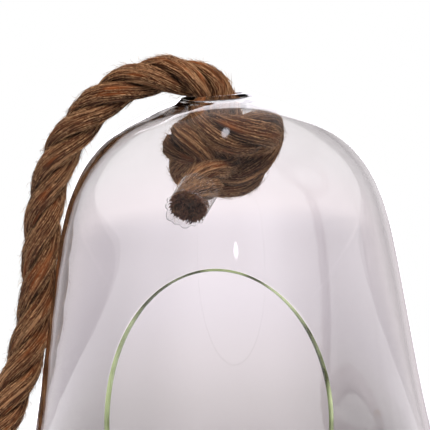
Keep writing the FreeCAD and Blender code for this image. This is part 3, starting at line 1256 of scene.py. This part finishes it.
LYING = FibreKind(
    "lying_fibre",
    lifts=((0.0, 0.010, 0.012, 0.0), (-0.004, 0.012, 0.008, 0.03), (0.02, 0.008, 0.014, -0.004)),
    sways=((0.0, 0.02, -0.015, 0.01), (0.03, 0.0, 0.02, -0.02), (-0.02, 0.015, 0.0, 0.04)),
    girth=0.0095,
    least_length=5.0,
    greatest_length=12.0,
    stray=0.09,
)
STRAY = FibreKind(
    "stray_fibre",
    lifts=((0.0, 0.12, 0.30, 0.34, 0.22), (0.0, 0.20, 0.30, 0.22, 0.30), (0.0, 0.10, 0.26, 0.48, 0.66)),
    sways=((0.0, 0.05, -0.04, 0.10, 0.24), (0.0, -0.06, 0.08, 0.20, 0.10), (0.0, 0.03, 0.10, 0.06, -0.06)),
    girth=0.013,
    least_length=2.0,
    greatest_length=4.6,
    stray=0.8,
    seed=11,
)
BRISTLE = FibreKind(
    "cut_bristle",
    lifts=((0.0, 0.03, 0.02, 0.08), (0.0, -0.03, 0.05, 0.10)),
    sways=((0.0, 0.03, 0.06, 0.02), (0.0, -0.04, 0.02, 0.08)),
    girth=0.09,
    least_length=1.6,
    greatest_length=3.4,
    stray=0.35,
    seed=17,
)


@dataclass
class TapeFilm:
    """Clear tape wound round a cut end of the rope, with a creased free edge past the end."""

    name: str
    node: str
    line: RopeLine
    at_start: bool
    wound: float = 12.0
    past: float = 3.0
    flare: float = 1.8
    radius: float = 7.3
    thin: float = 0.012
    longest_toward: Place = (-0.8, 0.0, -0.6)
    columns: int = 120
    rows: int = 34
    samples: int = 40
    waves: tuple[int, ...] = (3, 5, 8, 13, 19)
    folds: tuple[Place, ...] = ((0.30, 7, 1.1), (0.22, 13, 2.3), (0.14, 19, 0.4))
    seed: int = 41
    finish: FilmFinish = field(default_factory=FilmFinish)

    def build(self) -> Object:
        """Make the film as a thin closed skin.

        Returns:
            The film's object, which rides the rope.
        """
        line = self.line
        rng = np.random.default_rng(self.seed)
        end, way = (0, 1) if self.at_start else (len(line.points) - 1, -1)
        points = line.points[::way][: self.samples]
        tangent, side, up = line.tangent[end] * way, line.side[end], line.up[end]
        away = lengths_along(points) / MM
        turn = ring_turns(self.columns)
        waves = [(k, rng.uniform(0, FULL_TURN), rng.uniform(0.5, 1.0)) for k in self.waves]
        ripple = sum(size * np.sin(k * turn + shift) for k, shift, size in waves) / 3
        wanted = np.array(self.longest_toward)
        lean = np.clip(np.cos(turn - math.atan2(float(wanted @ up), float(wanted @ side))), 0, 1)
        free = self.past * (0.35 + 0.65 * lean) + 0.5 * ripple
        folds = sum(size * np.sin(k * turn + shift) for size, k, shift in self.folds)
        out = np.cos(turn)[:, None] * side + np.sin(turn)[:, None] * up
        grid = []
        for row in range(self.rows):
            place = self.wound - (self.wound + 1) * row / (self.rows - 1)
            share = max(0.0, -place)
            if place > 0:
                centre = np.array([np.interp(place, away, points[:, k]) for k in range(3)])
            else:
                centre = points[0] - tangent * (free * share)[:, None] * MM
            spread = self.radius + 0.08 * ripple + self.flare * 0.5 * share * lean + share * folds
            grid.append(centre + out * spread[:, None] * MM)
        outer = np.array(grid)
        middle = outer.mean(axis=1, keepdims=True)
        inner = middle + (outer - middle) * (1 - self.thin)
        skin = Skin()
        rings = [skin.ring(row) for row in (*outer, *inner[::-1])]
        for first, second in zip(rings, rings[1:] + rings[:1]):
            skin.band(first, second)
        film = skin.build(self.name)
        turn_outward(film)
        film.visible_glossy = False
        film.data.materials.append(self.finish.material())
        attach(film, Body.ROPE.value)
        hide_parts(self.node)
        return announce(film)


@dataclass
class TwineTie:
    """Thin twine wound round two turns of the coil."""

    centre: Place = (-192.0, 100.9, 8.1)
    half_spacing: float = 8.6
    inner: float = 7.3
    twine: float = 0.8
    turns: int = 8
    pitch: float = 1.05
    steps: int = 72
    sides: int = 8
    finish: PlainFibreFinish = PlainFibreFinish("tie_twine", (150, 118, 84), (214, 188, 150), 700.0)

    def build(self) -> Object:
        """Make the winding as one closed tube.

        Returns:
            The tie's object, which rides the rope.
        """
        reach = self.inner + 0.5 * self.twine
        straight = 2 * self.half_spacing
        half = straight + math.pi * reach
        path = []
        for k in range(self.steps * self.turns + 1):
            at = (k / self.steps) % 1.0 * 2 * half
            # the way back is the way out, turned by half a turn
            sign, at = (1, at) if at < half else (-1, at - half)
            y, z = at - self.half_spacing, reach
            if at > straight:
                angle = (at - straight) / reach
                y, z = self.half_spacing + reach * math.sin(angle), reach * math.cos(angle)
            path.append(((k / self.steps - 0.5 * self.turns) * self.pitch, sign * y, sign * z))
        line = np.array(path)
        tangent = unit(np.gradient(line, axis=0))
        across = unit(np.cross(tangent, [1.0, 0.0, 0.0]))
        other = np.cross(tangent, across)
        turn = ring_turns(self.sides)[None, :, None]
        away = np.cos(turn) * across[:, None, :] + np.sin(turn) * other[:, None, :]
        skin = Skin()
        skin.tube((line[:, None, :] + 0.5 * self.twine * away + np.array(self.centre)) * MM)
        tie = skin.build("twine_tie")
        turn_outward(tie)
        tie.data.materials.append(self.finish.material())
        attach(tie, Body.ROPE.value)
        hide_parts("coil_tie")
        return announce(tie)


@dataclass
class Rope:
    """The three-strand rope: knot and tail in the vase, and the free rope with its coil."""

    line: RopeLine = field(default_factory=RopeLine)
    finish: JuteFinish = field(default_factory=JuteFinish)
    loose: PlainFibreFinish = PlainFibreFinish("loose_fibres", (78, 45, 26), (180, 139, 102))
    cut: PlainFibreFinish = PlainFibreFinish("cut_fibre_ends", (46, 26, 20), (128, 88, 70), 1400.0)
    knot_fibres: tuple[int, int] = (3200, 1100)
    run_fibres: tuple[int, int] = (4200, 1500)
    coil_fibres: tuple[int, int] = (3000, 1000)
    bristles: int = 900
    bristle_seed: int = 23
    run_share: float = 0.30

    def build(self) -> None:
        """Make every rope piece."""
        self.line.sample()
        self.skin = StrandSkin(self.line)
        self.knot()
        TapeFilm("tail_tape_film", "tail_tape", self.line, True).build()
        far_tape = TapeFilm("far_end_tape_film", "far_end_tape", self.line, False, past=1.2, flare=0.6, seed=43)
        self.free([far_tape.build(), TwineTie().build()])

    def knot(self) -> None:
        """Make the knot and its tail."""
        skins, along, grooves = self.skin.strands(0, self.line.free_from)
        knot = self.skin.mesh("rope_knot_strands", skins, along, grooves)
        self.dress("knot", skins, grooves, self.knot_fibres)
        self.cut_end()
        knot.data.materials.append(self.finish.material())
        knot.visible_glossy = False
        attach(knot, Body.ROPE.value)
        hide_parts("rope_knot", "rope_tail")
        announce(knot)

    def dress(self, name: str, skins: np.ndarray, grooves: np.ndarray, counts: tuple[int, int]) -> list[Object]:
        """Lay loose fibres on a stretch of rope.

        Args:
            name: The stretch's name.
            skins: Its strands' points.
            grooves: How deep in a groove each point is.
            counts: How many fibres lie along the strands, and how many stand off.

        Returns:
            The fibre pieces.
        """
        pieces = []
        for kind, count in zip((LYING, STRAY), counts):
            seeds = self.skin.seeds(skins, grooves, count, kind.seed)
            piece = kind.spread(f"{kind.name}s_of_{name}", seeds, self.loose.material())
            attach(piece, Body.ROPE.value)
            pieces.append(announce(piece))
        return pieces

    def cut_end(self) -> None:
        """Make the bristling cut face of the tail."""
        line, count = self.line, self.bristles
        rng = np.random.default_rng(self.bristle_seed)
        reach = 0.5 * line.diameter * MM * 0.98 * np.sqrt(rng.uniform(0, 1, count))
        turn = rng.uniform(0, FULL_TURN, count)
        out = np.cos(turn)[:, None] * line.side[0] + np.sin(turn)[:, None] * line.up[0]
        deep = rng.uniform(-0.4, 1.2, count)[:, None]
        places = line.points[0] + out * reach[:, None] + line.tangent[0] * deep * MM
        heading = np.repeat(-line.tangent[:1], count, axis=0)
        end = BRISTLE.spread("cut_rope_end", (places, heading, out), self.cut.material())
        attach(end, Body.ROPE.value)
        announce(end)

    def free(self, held: list[Object]) -> None:
        """Make the free rope, from the knot to its far end.

        Args:
            held: The pieces that go with it; not used.
        """
        line = self.line
        first, last = line.free_from, len(line.points)
        skins, along, grooves = self.skin.strands(first, last, every=2)
        free = self.skin.mesh("rope_strands", skins, along, grooves)
        near = int(self.run_share * skins.shape[1])
        fuzz = self.dress("run", skins[:, :near], grooves[:, :near], self.run_fibres)
        fuzz += self.dress("coil", skins[:, near:], grooves[:, near:], self.coil_fibres)
        free.data.materials.append(self.finish.material())
        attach(free, Body.ROPE.value)
        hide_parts("rope_run", "rope_coil")
        announce(free)


# ---------------------------------------------------------------------------------------------------
# The stage


@dataclass
class Stage:
    """The camera, the lamps, the white surroundings and the floor."""

    azimuth: float = 4.5
    elevation: float = 3.3
    roll: float = 1.6
    distance: float = 3.0
    view_width: float = 0.1591
    look_across: float = -3.89
    look_height: float = 180.4
    sensor: float = 36.0
    lamps_look_at: Place = (0.0, 0.0, 0.16)
    floor_radius: float = 0.55
    floor_middle: float = -0.08
    sides: tuple[tuple[float, float], ...] = (
        (-0.040, 0.58), (-0.0165, 0.80), (-0.003, 1.0), (0.008, 1.0), (0.0225, 0.80), (0.040, 0.58),
    )
    depths: tuple[tuple[float, float], ...] = (
        (-1.0, 0.42), (-0.3, 0.30), (0.2, 0.14), (0.6, 0.24), (0.9, 0.58), (0.985, 1.0), (1.0, 1.0),
    )
    backdrop: tuple[tuple[float, Screen], ...] = (
        (-0.0860, (187, 178, 181)), (-0.0804, (198, 189, 192)), (-0.0742, (215, 205, 210)),
        (-0.0681, (227, 217, 225)), (-0.0607, (240, 230, 238)), (-0.0527, (250, 239, 245)),
        (-0.0447, (254, 243, 248)), (0.0500, (255, 248, 252)),
    )

    def camera(self) -> None:
        """Set the camera at the photograph's angle and framing."""
        right, back = rightward(self.azimuth), outward(self.azimuth, self.elevation)
        up = back.cross(right)
        lean = math.radians(self.roll)
        axis_x = right * math.cos(lean) - up * math.sin(lean)
        axis_y = up * math.cos(lean) + right * math.sin(lean)
        data = bpy.data.cameras.new("camera")
        data.sensor_width = self.sensor
        data.lens = self.sensor * self.distance / self.view_width
        data.clip_end = 50.0
        matrix = Matrix((axis_x, axis_y, back)).transposed().to_4x4()
        target = right * (self.look_across * MM) + Vector((0, 0, self.look_height * MM))
        matrix.translation = target + back * self.distance
        camera = linked("camera", data)
        camera.matrix_world = matrix
        bpy.context.scene.camera = camera

    def lamp(self, name: str, direction: Vector, distance: float, size: tuple[float, float], watts: float) -> None:
        """Add a soft lamp that looks at the vase and that the glass doesn't show.

        Args:
            name: Its name.
            direction: The direction from the vase to it.
            distance: How far it is from the middle of the vase.
            size: Its width and height.
            watts: Its power.
        """
        data = bpy.data.lights.new(name, "AREA")
        data.shape = "RECTANGLE"
        data.size, data.size_y = size
        data.energy = watts
        lamp = linked(name, data)
        place = Matrix.Translation(Vector(self.lamps_look_at) + direction * distance)
        lamp.matrix_world = place @ direction.to_track_quat("Z", "Y").to_matrix().to_4x4()
        lamp.visible_glossy = False
        lamp.visible_transmission = False

    @staticmethod
    def patch(
        n: Nodes,
        direction: Socket,
        at: tuple[float, float],
        half: tuple[float, float],
        soft: float,
        strength: float,
        taper: float = 0.0,
    ) -> Socket:
        """A bright soft patch of the surroundings, such as a lamp's face.

        Args:
            n: The nodes of the world.
            direction: The direction of sight.
            at: The patch's angles to the right of the front and above the level, in degrees.
            half: Its half width and half height, in degrees.
            soft: The share of its reach over which it fades.
            strength: Its light in the middle.
            taper: The share of its width that it loses toward its top.

        Returns:
            The light there.
        """
        toward, level = outward(*at), rightward(at[0])
        axes = (level, level.cross(toward) * -1.0, toward)
        across, above, ahead = (n.dot(direction, axis) for axis in axes)
        wide, high = (math.sin(math.radians(angle)) for angle in half)
        across = n.math("DIVIDE", across, n.spread(above, -high, high, wide, wide * (1 - taper)))
        above = n.math("DIVIDE", above, high)
        squares = [n.math("MULTIPLY", part, part) for part in (across, above)]
        fade = n.spread(n.math("SQRT", n.math("ADD", *squares)), 1 - soft, 1.0, 1.0, 0.0)
        return n.math("MULTIPLY", n.math("MULTIPLY", fade, n.math("GREATER_THAN", ahead, 0.0)), strength)

    def world(self) -> None:
        """White to the camera, a lilac-grey backdrop through the glass, and even light."""
        world = bpy.data.worlds.new("surroundings")
        world.use_nodes = True
        bpy.context.scene.world = world
        n = Nodes(world.node_tree)
        direction = n.add("ShaderNodeTexCoord").outputs["Generated"]
        _, depth, height = n.add("ShaderNodeSeparateXYZ", {0: direction}).outputs
        # the backdrop's shade by height, and by side and depth where one looks through the glass
        backdrop = n.ramp(height, [(at, rgb(*color)) for at, color in self.backdrop])
        across = n.dot(direction, rightward(self.azimuth))
        flank = n.ramp(across, [(at, (level,) * 3 + (1.0,)) for at, level in self.sides], "EASE")
        flanked = n.mix(1.0, backdrop, flank, "MULTIPLY")
        backdrop = n.mix(n.spread(height, -0.080, -0.048, 1.0, 0.12), backdrop, flanked)
        round_about = n.ramp(depth, [(at, (level,) * 3 + (1.0,)) for at, level in self.depths])
        through = n.out("ShaderNodeBackground", {0: n.mix(1.0, backdrop, round_about, "MULTIPLY"), 1: 1.0})
        # what the glass mirrors: a broad glow, a small lamp, a narrow lamp and a pane behind it, and the room
        strength = self.patch(n, direction, (37.0, 21.0), (22.0, 22.0), 0.8, 1.4)
        for glint in (
            ((11.0, 18.2), (2.5, 2.1), 0.55, 13.0, 0.55),
            ((-177.5, 71.5), (1.8, 8.0), 0.5, 7.0),
            ((-173.0, 20.0), (21.0, 27.0), 0.07, 3.9),
        ):
            strength = n.math("ADD", strength, self.patch(n, direction, *glint))
        sheen = n.out("ShaderNodeBackground", {0: (0.96, 0.93, 1.0, 1.0), 1: strength})
        behind = n.math("POWER", n.spread(depth, -0.10, 0.985, 0.0, 1.0), 0.8)
        by_height = n.spread(height, 0.05, 0.50, 0.72, 0.05)
        mirrored = n.math("MULTIPLY", n.spread(behind, 0.0, 1.0, 0.09, 1.0), by_height)
        room = n.out("ShaderNodeBackground", {0: backdrop, 1: mirrored})
        gloss = n.out("ShaderNodeAddShader", {0: room, 1: sheen})
        ambient = n.out("ShaderNodeBackground", {0: (1.0, 0.98, 0.96, 1.0), 1: 0.30})
        seen = n.out("ShaderNodeBackground", {0: WHITE, 1: 1.0})
        path = n.add("ShaderNodeLightPath").outputs
        mixed = n.pick(path["Is Glossy Ray"], ambient, gloss)
        mixed = n.pick(path["Is Transmission Ray"], mixed, through)
        n.add("ShaderNodeOutputWorld", {0: n.pick(path["Is Camera Ray"], mixed, seen)})

    def floor(self) -> None:
        """Lay a pale round floor that keeps the vase's shadow."""
        turns, radius = ring_turns(96), self.floor_radius
        rim = [radius * np.cos(turns) + self.floor_middle, radius * np.sin(turns), 0 * turns]
        floor = mesh_object("floor", np.stack(rim, axis=1), [tuple(range(len(turns)))])
        mat = bpy.data.materials.new("pale_floor")
        mat.use_nodes = True
        n = Nodes(mat.node_tree)
        path = n.add("ShaderNodeLightPath").outputs
        paper = n.out("ShaderNodeBsdfDiffuse", {0: (0.8, 0.79, 0.8, 1.0)})
        glow = n.out("ShaderNodeEmission", {0: WHITE, 1: 0.3})
        both = n.out("ShaderNodeAddShader", {0: paper, 1: glow})
        by_glass = n.math("MAXIMUM", path["Is Glossy Ray"], path["Is Transmission Ray"])
        shown = n.math("MAXIMUM", path["Is Camera Ray"], by_glass)
        n.add("ShaderNodeOutputMaterial", {0: n.pick(shown, paper, both)})
        floor.data.materials.append(mat)

    def build(self) -> None:
        """Set up everything round the vase."""
        bpy.context.scene.view_settings.view_transform = "Standard"
        self.camera()
        self.world()
        self.floor()
        self.lamp("key_lamp", outward(30.0, 48.0), 1.3, (0.45, 0.45), 24.0)
        self.lamp("fill_lamp", outward(-50.0, 25.0), 1.5, (0.60, 0.80), 1.8)
        self.lamp("top_lamp", outward(10.0, 84.0), 1.1, (0.30, 0.30), 11.0)


def main() -> None:
    """Build the stage and every piece in order."""
    logging.basicConfig(level=logging.INFO, format="%(message)s")
    Stage().build()
    GlassVessel().build()
    Rope().build()


if __name__ == "__main__":
    main()
